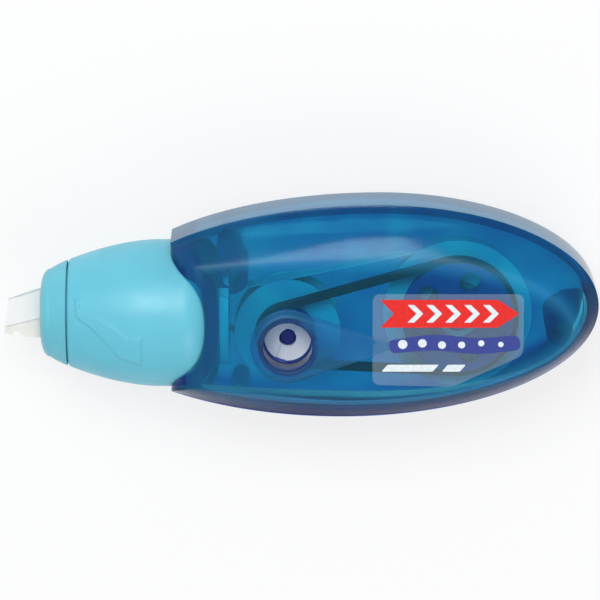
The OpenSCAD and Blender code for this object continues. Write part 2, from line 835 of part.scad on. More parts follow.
module used_tape_roll() {
    color([0.75, 0.8, 0.85]) place()
        tube(c1, used_roll_r, take_up_core_r, tape_plane - tape_w / 2, tape_plane + tape_w / 2);
}

back_shell();
front_cover();
label_film();
nose_core();
applicator_tip();
feed_tape();
return_tape();
drive_belt();
twist_collar();
cam_ring();
nose_sleeve();
supply_spool();
supply_flange();
clutch_washer();
supply_pulley();
tape_roll();
take_up_spool();
take_up_flange();
take_up_pulley();
tension_hub();
used_tape_roll();
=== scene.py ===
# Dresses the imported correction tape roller: casing, collar, nose, tape drive, label, stage.
import json
import math
import bmesh
import bpy
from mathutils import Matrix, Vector
from mathutils.kdtree import KDTree


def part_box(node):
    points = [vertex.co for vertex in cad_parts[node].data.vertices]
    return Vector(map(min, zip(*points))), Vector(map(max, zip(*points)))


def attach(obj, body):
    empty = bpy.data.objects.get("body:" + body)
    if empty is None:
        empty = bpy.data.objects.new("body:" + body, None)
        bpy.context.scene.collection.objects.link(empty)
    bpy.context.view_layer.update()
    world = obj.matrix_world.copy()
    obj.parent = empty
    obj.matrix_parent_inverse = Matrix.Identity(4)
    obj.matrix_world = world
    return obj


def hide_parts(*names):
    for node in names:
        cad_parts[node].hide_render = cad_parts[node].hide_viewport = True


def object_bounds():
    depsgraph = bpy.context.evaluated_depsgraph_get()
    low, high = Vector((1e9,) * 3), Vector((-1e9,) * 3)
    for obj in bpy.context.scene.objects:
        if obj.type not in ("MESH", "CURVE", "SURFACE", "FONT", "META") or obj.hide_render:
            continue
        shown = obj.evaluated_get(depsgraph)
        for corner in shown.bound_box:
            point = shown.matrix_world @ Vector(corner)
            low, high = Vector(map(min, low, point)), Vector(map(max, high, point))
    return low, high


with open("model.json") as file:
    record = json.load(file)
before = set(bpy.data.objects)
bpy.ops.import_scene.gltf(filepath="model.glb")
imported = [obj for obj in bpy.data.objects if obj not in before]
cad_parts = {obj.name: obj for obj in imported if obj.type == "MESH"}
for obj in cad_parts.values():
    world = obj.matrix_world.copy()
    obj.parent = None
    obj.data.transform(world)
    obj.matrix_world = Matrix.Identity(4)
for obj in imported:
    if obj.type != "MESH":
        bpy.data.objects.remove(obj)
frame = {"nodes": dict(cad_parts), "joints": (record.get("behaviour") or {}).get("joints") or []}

cad_box = [list(corner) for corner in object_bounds()]
joints = {j["name"]: j for j in frame["joints"]}
axis_pos = joints["collar_twist"]["pos_m"]
ORIGIN = Vector((cad_box[0][0], axis_pos[1], axis_pos[2]))
MM = 0.001


# ---------- sizes, in mm from the tip's edge on the nose axis ----------
def span(node, k):
    """Lowest and highest place of a CAD node along axis k, in mm."""
    lo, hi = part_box(node)
    return (lo[k] - ORIGIN[k]) / MM, (hi[k] - ORIGIN[k]) / MM


def spindle(joint):
    p = joints[joint]["pos_m"]
    return ((p[0] - ORIGIN.x) / MM, (p[1] - ORIGIN.y) / MM)


FRONT, TAIL = span("back_shell", 0)
BOTTOM, TOP = span("back_shell", 1)
BACK, SEAM = span("back_shell", 2)
HALF = -BACK
LIFT = 2.6
UP, DOWN = TOP - LIFT, LIFT - BOTTOM
TOP_CX, BOTTOM_CX = FRONT + 37.7, FRONT + 30.7
TOP_RUN, BOTTOM_RUN = 48.5, 48.0
START = FRONT - 2.3
FACE_UP, FACE_DOWN = 12.2, 12.6
FACE_CX, FACE_RUN, FACE_END = TOP_CX - 1.3, 70.0, TAIL - 4.3
WALL = 1.5
SWELL = 0.1
C1, C2 = spindle("take_up_spin"), spindle("supply_spin")
COLLAR_R = span("twist_collar", 1)[1]
COLLAR_END = span("twist_collar", 0)[1]
SEAM_X = span("twist_collar", 0)[0] - 0.1
SEAM_R, SWELL_LEN, COLLAR_ROUND = 9.6, 16.4, 4.4
VOID_R, VOID_END, VOID_ROUND = COLLAR_R + 0.3, COLLAR_END + 0.3, COLLAR_ROUND + 0.3
NOSE_X, SKIRT_END = span("nose_sleeve", 0)
WELL_R = 4.4
HUB_TOP = span("tension_hub", 2)[1]
BOSS_TOP = span("front_cover", 2)[1]


def at(x, y, z):
    return (ORIGIN.x + x * MM, ORIGIN.y + y * MM, ORIGIN.z + z * MM)


def mix(a, b, t):
    return a + (b - a) * t


def smooth(a, b, v):
    t = min(1.0, max(0.0, (v - a) / (b - a)))
    return t * t * (3 - 2 * t)


# ---------- mesh helpers ----------
def make(name, verts, faces, soft=35):
    mesh = bpy.data.meshes.new(name)
    mesh.from_pydata([at(*v) for v in verts], [], faces)
    mesh.validate()
    bm = bmesh.new()
    bm.from_mesh(mesh)
    bmesh.ops.recalc_face_normals(bm, faces=bm.faces)
    bm.to_mesh(mesh)
    bm.free()
    mesh.update()
    ob = bpy.data.objects.new(name, mesh)
    bpy.context.scene.collection.objects.link(ob)
    soften(ob, soft)
    return ob


def soften(ob, angle=35):
    ob.data.polygons.foreach_set("use_smooth", [True] * len(ob.data.polygons))
    ob.data.set_sharp_from_angle(angle=math.radians(angle))


def skin(name, rings, caps=True, closed=False, soft=35):
    """A surface through rings of equal length, each ring closed."""
    n = len(rings[0])
    verts = [p for r in rings for p in r]
    faces = []
    last = len(rings) if closed else len(rings) - 1
    for k in range(last):
        a, b = k * n, ((k + 1) % len(rings)) * n
        faces += [(a + i, a + (i + 1) % n, b + (i + 1) % n, b + i) for i in range(n)]
    if caps and not closed:
        faces.append(tuple(range(n - 1, -1, -1)))
        faces.append(tuple(range(len(verts) - n, len(verts))))
    return make(name, verts, faces, soft)


def lathe(name, profile, n=256, soft=35, closed=True):
    """Turns a profile of (x, radius) round the nose axis."""
    rings = []
    for x, r in profile:
        rings.append([(x, r * math.cos(t), r * math.sin(t)) for t in (2 * math.pi * i / n for i in range(n))])
    return skin(name, rings, caps=not closed, closed=closed, soft=soft)


def turn(name, c, profile, n=128, soft=35):
    """Turns a closed profile of (radius, z) round an upright axis at c."""
    rings = []
    for r, z in profile:
        rings.append([(c[0] + r * math.cos(t), c[1] + r * math.sin(t), z)
                      for t in (2 * math.pi * i / n for i in range(n))])
    return skin(name, rings, closed=True, soft=soft)


def arc(cx, cy, r, a0, a1, n):
    return [(cx + r * math.cos(math.radians(mix(a0, a1, i / n))),
             cy + r * math.sin(math.radians(mix(a0, a1, i / n)))) for i in range(n + 1)]


def prism(name, plan, z0, z1, bevel=0.0, soft=35):
    n = len(plan)
    verts = [(x, y, z0) for x, y in plan] + [(x, y, z1) for x, y in plan]
    faces = [tuple(range(n - 1, -1, -1)), tuple(range(n, 2 * n))]
    faces += [(i, (i + 1) % n, n + (i + 1) % n, n + i) for i in range(n)]
    ob = make(name, verts, faces, soft)
    if bevel:
        round_edges(ob, bevel)
    return ob


def apply_all(ob):
    bpy.context.view_layer.update()
    deps = bpy.context.evaluated_depsgraph_get()
    mesh = bpy.data.meshes.new_from_object(ob.evaluated_get(deps), depsgraph=deps)
    old = ob.data
    ob.modifiers.clear()
    ob.data = mesh
    mesh.name = ob.name
    bpy.data.meshes.remove(old)


def round_edges(ob, width, segments=3, angle=30):
    m = ob.modifiers.new("round", "BEVEL")
    m.width = width * MM
    m.segments = segments
    m.limit_method = "ANGLE"
    m.angle_limit = math.radians(angle)
    m.use_clamp_overlap = True
    apply_all(ob)
    soften(ob, 40)


def cut(ob, tool, how="DIFFERENCE", keep=False, soft=35):
    m = ob.modifiers.new("cut", "BOOLEAN")
    m.operation = how
    m.solver = "EXACT"
    m.object = tool
    apply_all(ob)
    soften(ob, soft)
    if not keep:
        bpy.data.objects.remove(tool)


# ---------- casing outlines ----------
HALF_STEPS = 100


def start_angle(cx, run):
    return math.acos((START - cx) / run)


def loop_of(top, bottom):
    """Ring over the top and back under the bottom; each half is (centre, front run, tail run, cy, height)."""
    pts = []
    for side, (cx, run, back, cy, high) in ((1, top), (-1, bottom)):
        first = start_angle(cx, run)
        for i in range(HALF_STEPS + 1):
            a = first * (1 - i / HALF_STEPS)
            p = (cx + (run if a > math.pi / 2 else back) * math.cos(a), cy + side * high * math.sin(a))
            pts.append(p)
        if side == 1:
            upper = pts
            pts = []
    return upper + pts[::-1][1:]


def outline(d):
    return loop_of((TOP_CX, TOP_RUN - d, TAIL - TOP_CX - d, LIFT, UP - d),
                   (BOTTOM_CX, BOTTOM_RUN - d, TAIL - BOTTOM_CX - d, LIFT, DOWN - d))


def face_edge(d):
    cy, half = (FACE_UP - FACE_DOWN) / 2, (FACE_UP + FACE_DOWN) / 2 - d
    one = (FACE_CX, FACE_RUN, FACE_END - FACE_CX - d, cy, half)
    return loop_of(one, one)


def slope_point(o, f, s, d, side):
    low, high = SEAM - 0.57 * d, HALF - d
    z = side * mix(low, high, s + SWELL * math.sin(math.pi * s))
    return (mix(o[0], f[0], s), mix(o[1], f[1], s), z)


def slope_ring(d, s, side):
    return [slope_point(o, f, s, d, side) for o, f in zip(outline(d), face_edge(0.35 * d))]


def corner_rings(ra, rc, rb, n=5):
    """Rings of a rounded corner between rings a and b, with its corner at c."""
    out = []
    for k in range(n + 1):
        t = k / n
        w = ((1 - t) ** 2, 2 * t * (1 - t), t * t)
        out.append([tuple(w[0] * a[j] + w[1] * c[j] + w[2] * b[j] for j in range(3))
                    for a, c, b in zip(ra, rc, rb)])
    return out


def face_rings(d, z, steps=14):
    """Rings of the flat face, shrinking onto a line along its middle."""
    out = []
    cy = (FACE_UP - FACE_DOWN) / 2
    for k in range(steps + 1):
        t = k / steps * 0.96
        ring = []
        for x, y in face_edge(d):
            sx = min(max(x, 46.0), 88.0)
            ring.append((mix(x, sx, t), mix(y, cy, t), z))
        out.append(ring)
    return out


def flat(points, z):
    return [(x, y, z) for x, y in points]


def outer_rings(side, rim):
    """Outside of one shell from its rim to its face."""
    rings = [flat(outline(0.12), side * rim), flat(outline(0.0), side * (rim + 0.12))]
    foot = SEAM if side > 0 else SEAM
    if side > 0:
        rings += [slope_ring(0, s, side) for s in (0.05, 0.12, 0.25, 0.4, 0.55, 0.7, 0.82)]
    else:
        band = flat(outline(0.0), side * (foot - 0.9))
        rings += [band]
        rings += corner_rings(band, flat(outline(0.0), side * foot), slope_ring(0, 0.12, side))
        rings += [slope_ring(0, s, side) for s in (0.25, 0.4, 0.55, 0.7, 0.82)]
    top = slope_ring(0, 0.9, side)
    rings += corner_rings(top, slope_ring(0, 1.0, side), flat(face_edge(1.0), side * HALF))
    rings += face_rings(1.25, side * HALF)
    return rings


def inner_rings(side, first):
    rings = [slope_ring(WALL, s, side) for s in first]
    rings += face_rings(1.2, side * (HALF - WALL), 6)
    return rings


def front_body():
    """Side view of the casing with its rounded front edges, as one long prism across it."""
    r = 6.0
    prof = [(FRONT + r, HALF), (FRONT + r, HALF + 3), (TAIL + 5, HALF + 3), (TAIL + 5, -HALF - 3),
            (FRONT + r, -HALF - 3), (FRONT + r, -HALF)]
    prof += arc(FRONT + r, -HALF + r, r, 270, 180, 20)[1:]
    prof += arc(FRONT + r, HALF - r, r, 180, 90, 20)[:-1]
    n = len(prof)
    verts = [(x, -40, z) for x, z in prof] + [(x, 40, z) for x, z in prof]
    faces = [tuple(range(n)), tuple(range(2 * n - 1, n - 1, -1))]
    faces += [(i, n + i, n + (i + 1) % n, (i + 1) % n) for i in range(n)]
    return make("front_body", verts, faces)


def void_body(grow=0.0):
    r, e, q = VOID_R + grow, VOID_END + grow, VOID_ROUND + grow
    prof = [(FRONT - 12, 0.02), (FRONT - 12, r), (FRONT, r)] + [
        (e - q + q * math.sin(math.radians(a)), r - q + q * math.cos(math.radians(a))) for a in range(0, 91, 5)]
    prof += [(e, 7.0), (e, 0.02)]
    return lathe("void_body", prof, n=220, closed=True)


# ---------- materials ----------
class Mat:
    """A node material built step by step."""

    def __init__(self, name):
        self.m = bpy.data.materials.new(name)
        self.m.use_nodes = True
        self.nt = self.m.node_tree
        self.nt.nodes.clear()
        self.out = self.nt.nodes.new("ShaderNodeOutputMaterial")
        self.coord = self.node("ShaderNodeTexCoord")

    def node(self, kind, **props):
        n = self.nt.nodes.new(kind)
        for key, value in props.items():
            setattr(n, key, value)
        return n

    def put(self, socket, value):
        if isinstance(value, bpy.types.NodeSocket):
            self.nt.links.new(value, socket)
        elif isinstance(value, tuple) and len(value) == 3 and socket.type == "RGBA":
            socket.default_value = (*value, 1)
        else:
            socket.default_value = value

    def noise(self, scale, detail=2.0, rough=0.5, stretch=None):
        n = self.node("ShaderNodeTexNoise")
        n.inputs["Scale"].default_value = scale
        n.inputs["Detail"].default_value = detail
        n.inputs["Roughness"].default_value = rough
        source = self.coord.outputs["Object"]
        if stretch:
            mp = self.node("ShaderNodeMapping")
            mp.inputs["Scale"].default_value = stretch
            self.nt.links.new(source, mp.inputs["Vector"])
            source = mp.outputs["Vector"]
        self.nt.links.new(source, n.inputs["Vector"])
        return n.outputs["Fac"]

    def ramp(self, fac, lo, hi, a=0.0, b=1.0):
        n = self.node("ShaderNodeMapRange")
        n.interpolation_type = "SMOOTHSTEP"
        self.put(n.inputs["Value"], fac)
        for key, value in (("From Min", lo), ("From Max", hi), ("To Min", a), ("To Max", b)):
            n.inputs[key].default_value = value
        return n.outputs["Result"]

    def math(self, op, a, b=0.0):
        n = self.node("ShaderNodeMath", operation=op)
        self.put(n.inputs[0], a)
        self.put(n.inputs[1], b)
        return n.outputs[0]

    def blend(self, fac, a, b):
        n = self.node("ShaderNodeMix", data_type="RGBA")
        self.put(n.inputs[0], fac)
        self.put(n.inputs[6], a)
        self.put(n.inputs[7], b)
        return n.outputs[2]

    def attr(self, name):
        return self.node("ShaderNodeAttribute", attribute_name=name).outputs["Fac"]

    def bump(self, height, distance, strength=1.0, normal=None):
        n = self.node("ShaderNodeBump")
        self.put(n.inputs["Height"], height)
        self.put(n.inputs["Strength"], strength)
        n.inputs["Distance"].default_value = distance * MM
        if normal is not None:
            self.nt.links.new(normal, n.inputs["Normal"])
        return n.outputs["Normal"]

    def principled(self, color, rough, normal=None, **more):
        n = self.node("ShaderNodeBsdfPrincipled")
        self.put(n.inputs["Base Color"], color)
        self.put(n.inputs["Roughness"], rough)
        if normal is not None:
            self.nt.links.new(normal, n.inputs["Normal"])
        for key, value in more.items():
            self.put(n.inputs[key.replace("_", " ")], value)
        return n.outputs[0]

    def clear(self, color):
        n = self.node("ShaderNodeBsdfTransparent")
        self.put(n.inputs["Color"], color)
        return n.outputs[0]

    def mixed(self, fac, a, b):
        n = self.node("ShaderNodeMixShader")
        self.put(n.inputs[0], fac)
        self.nt.links.new(a, n.inputs[1])
        self.nt.links.new(b, n.inputs[2])
        return n.outputs[0]

    def done(self, shader):
        self.nt.links.new(shader, self.out.inputs["Surface"])
        return self.m


def wear(t, ob):
    ob.data.materials.clear()
    ob.data.materials.append(t)


def casing_plastic(name, tint, shaded_tint, body, shaded_body, veil, frost_veil, rough):
    """Clear coloured plastic; 'frost' roughens it and adds painted glints as light specks; the painted shade mask
    darkens its tint and body where it stands for thick or shaded plastic.
    """
    t = Mat(name)
    frost, painted_shade = t.attr("frost"), t.attr("painted_shade")
    grain = t.noise(5200, 3.0, 0.7)
    cloud = t.noise(160, 3.0, 0.5)
    # painted glints: light specks where the plastic is frosted
    painted_glint = t.math("MULTIPLY", t.ramp(grain, 0.56, 0.72), frost)
    # painted shade: the see-through tint turns darker where the shade mask is high
    see = t.blend(painted_shade, tint, shaded_tint)
    see = t.blend(t.ramp(cloud, 0.3, 0.75, 0.0, 0.25), see, shaded_tint)
    # painted shade: the body colour turns darker where the shade mask is high
    colour = t.blend(painted_shade, body, shaded_body)
    # painted glints lighten the colour towards pale blue
    colour = t.blend(t.math("MULTIPLY", painted_glint, 0.55), colour, (0.35, 0.75, 0.95))
    normal = t.bump(t.noise(2600, 4.0, 0.65), 0.05, t.ramp(frost, 0, 1, 0.06, 1.0))
    share = t.math("ADD", t.math("MULTIPLY", frost, frost_veil), veil)
    share = t.math("ADD", share, t.math("MULTIPLY", painted_glint, 0.25))
    solid = t.principled(colour, t.ramp(frost, 0, 1, rough, 0.5), normal, IOR=1.49, Specular_IOR_Level=0.5)
    base = t.mixed(share, t.clear(see), solid)
    gloss = t.node("ShaderNodeBsdfGlossy")
    t.put(gloss.inputs["Roughness"], t.ramp(frost, 0, 1, rough, 0.45))
    t.nt.links.new(normal, gloss.inputs["Normal"])
    fres = t.node("ShaderNodeFresnel")
    fres.inputs["IOR"].default_value = 1.3
    return t.done(t.mixed(fres.outputs[0], base, gloss.outputs[0]))


def moulded(name, color, rough=0.35, grain=0.02, scale=900, tone=0.08, **more):
    """Satin moulded plastic with fine grain and slightly uneven tone."""
    t = Mat(name)
    dark = tuple(c * (1 - tone) for c in color)
    colour = t.blend(t.ramp(t.noise(90, 3.0), 0.35, 0.7), color, dark)
    normal = t.bump(t.noise(scale, 3.0), grain)
    r = t.ramp(t.noise(300, 2.0), 0.3, 0.7, rough * 0.9, rough * 1.15)
    return t.done(t.principled(colour, r, normal, **more))


def wound(name, color, edge, rings, c):
    """Tape wound in a roll: fine rings round its spindle."""
    t = Mat(name)
    mp = t.node("ShaderNodeMapping")
    mp.inputs["Location"].default_value = tuple(-v for v in at(c[0], c[1], 0))
    t.nt.links.new(t.coord.outputs["Object"], mp.inputs["Vector"])
    w = t.node("ShaderNodeTexWave", wave_type="RINGS", rings_direction="Z")
    w.inputs["Scale"].default_value = rings
    w.inputs["Distortion"].default_value = 0.6
    t.nt.links.new(mp.outputs["Vector"], w.inputs["Vector"])
    colour = t.blend(w.outputs["Fac"], color, edge)
    normal = t.bump(w.outputs["Fac"], 0.03)
    return t.done(t.principled(colour, 0.6, normal))


# each casing plastic: see-through tint, shaded tint, body colour, shaded body colour as painted shade, then veils and
# roughness
CLEAR = casing_plastic("casing_clear", (0.30, 0.84, 0.93), (0.10, 0.42, 0.80), (0.0, 0.42, 0.72),
                       (0.03, 0.09, 0.45), 0.04, 0.16, 0.12)
FROST = casing_plastic("casing_frost", (0.12, 0.66, 0.86), (0.06, 0.22, 0.66), (0.0, 0.30, 0.62),
                       (0.02, 0.06, 0.36), 0.16, 0.30, 0.3)
# painted shade: a darker purple copy of the casing plastic for the thick parts inside the casing
SHADED_CASING = casing_plastic("casing_thick_shaded", (0.10, 0.30, 0.72), (0.08, 0.2, 0.6), (0.02, 0.06, 0.42),
                        (0.03, 0.04, 0.36), 0.30, 0.2, 0.2)
TURQUOISE = moulded("turquoise_satin", (0.125, 0.53, 0.68), 0.38, 0.012, 2200, 0.05)
SLEEVE = moulded("turquoise_sleeve", (0.13, 0.53, 0.66), 0.42, 0.012, 2200, 0.06)
MILKY = moulded("tip_milky", (0.80, 0.80, 0.76), 0.35, 0.01, 1500, 0.06, Subsurface_Weight=0.25,
                Subsurface_Scale=0.002)
NATURAL = moulded("natural_milky", (0.62, 0.80, 0.84), 0.3, 0.01, 1200, 0.08)
WHITE = moulded("hub_white", (0.80, 0.82, 0.84), 0.3, 0.008, 1400, 0.04)
VIOLET = moulded("violet_satin", (0.10, 0.10, 0.42), 0.35, 0.01, 1200, 0.1)
RUBBER = moulded("belt_rubber", (0.012, 0.014, 0.016), 0.6, 0.04, 1600, 0.3)
FELT = moulded("washer_felt", (0.30, 0.31, 0.33), 0.9, 0.12, 2600, 0.3)
TAPE = moulded("tape_white", (0.84, 0.85, 0.85), 0.55, 0.01, 3000, 0.03)
RIBBON = moulded("ribbon_clear", (0.62, 0.70, 0.74), 0.25, 0.01, 2000, 0.1)


def masks(ob, frost, painted_shade):
    mesh = ob.data
    for name, fn in (("frost", frost), ("painted_shade", painted_shade)):
        a = mesh.attributes.get(name) or mesh.attributes.new(name, "FLOAT", "POINT")
        vals = []
        for v in mesh.vertices:
            p = (v.co - ORIGIN) / MM
            vals.append(fn(p.x, p.y, p.z))
        a.data.foreach_set("value", vals)


def tree_of(points):
    kd = KDTree(len(points))
    for i, (x, y) in enumerate(points):
        kd.insert((x, y, 0), i)
    kd.balance()
    return kd


FACE_TREE, RIM_TREE = tree_of(face_edge(0.3)), tree_of(outline(0))


def near(tree, x, y):
    return tree.find((x, y, 0))[2]


def cover_frost(x, y, z):
    ridge = math.exp(-(near(FACE_TREE, x, y) / 1.5) ** 2)
    left = 0.45 * (1 - smooth(40, 56, x)) * (1 if z > 0 else 0)
    return min(1.0, max(0.75 * ridge, left))


# painted shade: darker near the rim, more so towards the bottom
def cover_painted_shade(x, y, z):
    d = near(RIM_TREE, x, y)
    low = smooth(6.0, -3.0, y)
    return (1 - smooth(0.6, 2.3, d)) * mix(0.25, 1.0, low)


def frost_frost(x, y, z):
    return 0.9 if z < SEAM - 0.05 and near(RIM_TREE, x, y) < 0.4 else 0.25


# painted shade: darker near the rim towards the bottom
def back_painted_shade(x, y, z):
    d = near(RIM_TREE, x, y)
    return (1 - smooth(1.2, 2.6, d)) * smooth(4.0, -6.0, y)


# ---------- casing ----------
def build_back():
    rings = outer_rings(-1, -(SEAM - 0.08))[::-1]
    rings += [flat(outline(WALL), SEAM - 0.08)]
    rings += inner_rings(-1, (0.0, 0.2, 0.5, 0.8, 1.0))
    ob = skin("casing_back", rings)
    cut(ob, front_body(), "INTERSECT")
    cut(ob, void_body())
    masks(ob, frost_frost, back_painted_shade)
    wear(FROST, ob)
    return ob


def build_cover():
    rings = inner_rings(1, (0.17, 0.4, 0.7, 1.0))[::-1]
    rings += outer_rings(1, SEAM)
    ob = skin("casing_cover", rings)
    cut(ob, front_body(), "INTERSECT")
    cut(ob, void_body())
    well = turn("well_cut", C1, [(0.02, HALF - 5), (WELL_R + 0.9, HALF - 5), (WELL_R + 0.9, HALF + 4), (0.02, HALF + 4)])
    cut(ob, well)
    masks(ob, cover_frost, cover_painted_shade)
    wear(CLEAR, ob)
    return ob


back = build_back()
cover = build_cover()
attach(back, "casing")
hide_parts("back_shell")
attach(cover, "casing")
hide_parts("front_cover")


def comet_reach(theta, grow):
    """Distance from the well's centre to the edge of the raised fairing, in direction theta."""
    r, tail, tip = 6.2 + grow, 17.6, 0.8 + 0.3 * grow
    c, s = math.cos(theta), math.sin(theta)
    a = math.acos((r - tip) / tail)
    if abs(theta) >= a:
        return r
    side = math.cos(a) * c + math.sin(a) * abs(s)
    line = r / side
    reach_tip = tail * c
    disc = tip * tip - (tail * s) ** 2
    if disc > 0:
        cap = reach_tip + math.sqrt(disc)
        edge = math.atan2(tip * math.sin(a), tail + tip * math.cos(a))
        if abs(theta) < edge:
            return cap
    return line


def build_fairing():
    """Raised frosted rim of the well, drawn out into a tapering tail."""
    n, rings = 240, []
    high = BOSS_TOP - HALF

    def ring(fn):
        out = []
        for i in range(n):
            th = 2 * math.pi * i / n
            th = th - 2 * math.pi if th > math.pi else th
            out.append(fn(th))
        return out

    def spot(th, r, z):
        return (C1[0] + r * math.cos(th), C1[1] + r * math.sin(th), z)

    def top_z(th, r):
        fall = smooth(6.5, 17.0, r * max(0.0, math.cos(th)))
        return HALF + high * (1 - fall * 0.96)

    rings.append(ring(lambda th: spot(th, comet_reach(th, 0.5), HALF - 0.35)))
    rings.append(ring(lambda th: spot(th, comet_reach(th, 0.5), HALF - 0.02)))
    for grow, part in ((0.3, 0.12), (0.1, 0.35), (-0.15, 0.7), (-0.4, 0.9), (-0.75, 1.0)):
        rings.append(ring(lambda th: (lambda r: spot(th, r, mix(HALF, top_z(th, r), part)))(comet_reach(th, grow))))
    for t in (0.2, 0.4, 0.6, 0.8, 0.92):
        rings.append(ring(lambda th: (lambda r: spot(th, r, top_z(th, r)))(mix(comet_reach(th, -0.75), WELL_R + 0.55, t))))
    for r, dz in ((WELL_R + 0.4, -0.02), (WELL_R + 0.18, -0.12), (WELL_R + 0.04, -0.3), (WELL_R, -0.55)):
        rings.append(ring(lambda th: spot(th, r, BOSS_TOP + dz)))
    bottom = HUB_TOP + 0.5
    for z in (HALF - 2, HALF - 4, bottom + 0.2):
        rings.append(ring(lambda th: spot(th, WELL_R, z)))
    rings.append(ring(lambda th: spot(th, WELL_R + 0.15, bottom)))
    rings.append(ring(lambda th: spot(th, WELL_R + 0.9, bottom)))
    rings.append(ring(lambda th: spot(th, WELL_R + 0.9, HALF - 0.35)))
    ob = skin("well_fairing", rings, closed=True, soft=50)
    # frost on the raised top; painted shade in and round the well, light painted shade elsewhere
    masks(ob, lambda x, y, z: 0.75 if z > HALF - 0.5 else 0.15,
          lambda x, y, z: 0.7 if math.hypot(x - C1[0], y - C1[1]) < WELL_R + 1.0 else 0.15)
    wear(CLEAR, ob)
    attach(ob, "casing")
    return ob


build_fairing()


def inside_body():
    rings = [slope_ring(WALL * 0.6, s, -1) for s in (1, 0.7, 0.4, 0)] + [slope_ring(WALL * 0.6, s, 1) for s in (0, 0.4, 0.7, 1)]
    return skin("inside_body", rings)


def build_bulkhead():
    grow = 1.8
    ob = void_body(grow)
    ob.name = "bulkhead"
    cut(ob, front_body(), "INTERSECT")
    inside = inside_body()
    cut(ob, inside, "INTERSECT")
    cut(ob, void_body(0.02))
    hole = lathe("hole", [(FRONT, 0.02), (FRONT, 8.4), (VOID_END + 8, 8.4), (VOID_END + 8, 0.02)], n=96)
    cut(ob, hole)
    # painted shade: the bulkhead inside the casing is darkened and wears the shaded casing plastic
    masks(ob, lambda x, y, z: 0.3, lambda x, y, z: 0.5)
    wear(SHADED_CASING, ob)
    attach(ob, "casing")
    return ob


build_bulkhead()

SOCKET_A, SOCKET_B = (FRONT + 10.8, 7.8), (TAIL - 6.3, -2.0)
POST = (FRONT + 12.4, -13.9)


def socket(name, c, wall_point):
    """Ring socket with the web that joins it to the casing's wall."""
    r, hole, z0, z1 = 3.1, 1.6, BACK + 0.8, SEAM
    wx, wy = wall_point[0] - c[0], wall_point[1] - c[1]
    length = math.hypot(wx, wy)
    ux, uy = wx / length, wy / length
    n = 72
    outer = []
    for i in range(n):
        th = 2 * math.pi * i / n
        dx, dy = math.cos(th), math.sin(th)
        along = dx * ux + dy * uy
        across = abs(-dx * uy + dy * ux)
        reach = r
        if along > 0:
            limit = 10.0
            for k in range(60):
                q = r + k * (length - r) / 59
                if across * q <= mix(2.6, 0.9, smooth(r * 0.6, length, q * along)):
                    limit = q
            reach = max(r, min(limit if limit < 10 else r, length / max(along, 0.2)))
        outer.append((c[0] + dx * reach, c[1] + dy * reach))
    inner = [(c[0] + hole * math.cos(2 * math.pi * i / n), c[1] + hole * math.sin(2 * math.pi * i / n)) for i in range(n)]
    rings = [flat(outer, z0), flat(outer, z1 - 0.2)]
    rings.append([(mix(x, c[0], 0.04), mix(y, c[1], 0.04), z1) for x, y in outer])
    rings.append([(mix(x, c[0], -0.1), mix(y, c[1], -0.1), z1) for x, y in inner])
    rings += [flat(inner, z1 - 0.2), flat(inner, z0)]
    ob = skin(name, rings, closed=True, soft=40)
    cut(ob, inside_body(), "INTERSECT")
    cut(ob, void_body(1.0))
    # painted shade: the sockets inside the casing are darkened strongly and wear the shaded casing plastic
    masks(ob, lambda x, y, z: 0.1, lambda x, y, z: 0.8)
    wear(SHADED_CASING, ob)
    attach(ob, "casing")
    return ob


socket("socket_front", SOCKET_A, (SOCKET_A[0] - 1.2, SOCKET_A[1] + 8.9))
socket("socket_tail", SOCKET_B, (SOCKET_B[0] + 4.2, SOCKET_B[1] + 4.2))


def build_post():
    ob = turn("post_low", POST, [(0.02, BACK + 0.8), (1.7, BACK + 0.8), (1.7, SEAM - 0.2), (1.5, SEAM), (0.02, SEAM)], 48)
    cut(ob, inside_body(), "INTERSECT")
    # painted shade: the post inside the casing is darkened strongly and wears the shaded casing plastic
    masks(ob, lambda x, y, z: 0.1, lambda x, y, z: 0.8)
    wear(SHADED_CASING, ob)
    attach(ob, "casing")


build_post()


def build_pins():
    """Fixed spindles under the two spools."""
    z0 = BACK + 0.8
    for name, c, r, foot in (("spindle_take_up", C1, 1.5, 2.0), ("spindle_supply", C2, 2.4, 3.0)):
        rear = span("supply_spool", 2)[0] - 0.3
        top = HUB_TOP - 0.9
        ob = turn(name, c, [(0.02, z0), (r + foot, z0), (r + foot, rear - 0.2), (r + foot - 0.2, rear), (r, rear),
                            (r, top - 0.3), (r - 0.3, top), (0.02, top)], 96)
        # painted shade: the spindles inside the casing are darkened and wear the shaded casing plastic
        masks(ob, lambda x, y, z: 0.1, lambda x, y, z: 0.6)
        wear(SHADED_CASING, ob)
        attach(ob, "casing")


build_pins()

# ---------- collar ----------
ARROW = [(13.2, 5.3), (13.9, 5.3), (14.2, 3.2), (17, 2.2), (20, 0.6), (22.6, -1.4), (25.2, -1.4),
         (25.2, -6.9), (21, -5.4), (18.6, -2.6), (16.2, -0.2), (13.4, 1.6)]


def edge_distance(x, y, poly):
    """Distance to a polygon's edge, positive inside it."""
    inside, best = False, 1e9
    n = len(poly)
    for i in range(n):
        ax, ay = poly[i]
        bx, by = poly[(i + 1) % n]
        if (ay > y) != (by > y) and x < (bx - ax) * (y - ay) / (by - ay) + ax:
            inside = not inside
        dx, dy = bx - ax, by - ay
        t = min(1, max(0, ((x - ax) * dx + (y - ay) * dy) / (dx * dx + dy * dy)))
        best = min(best, math.hypot(x - ax - t * dx, y - ay - t * dy))
    return best if inside else -best


def swell_r(x):
    u = min(1.0, max(0.0, (x - SEAM_X) / SWELL_LEN))
    return SEAM_R + (COLLAR_R - SEAM_R) * (1 - (1 - u) ** 1.75)


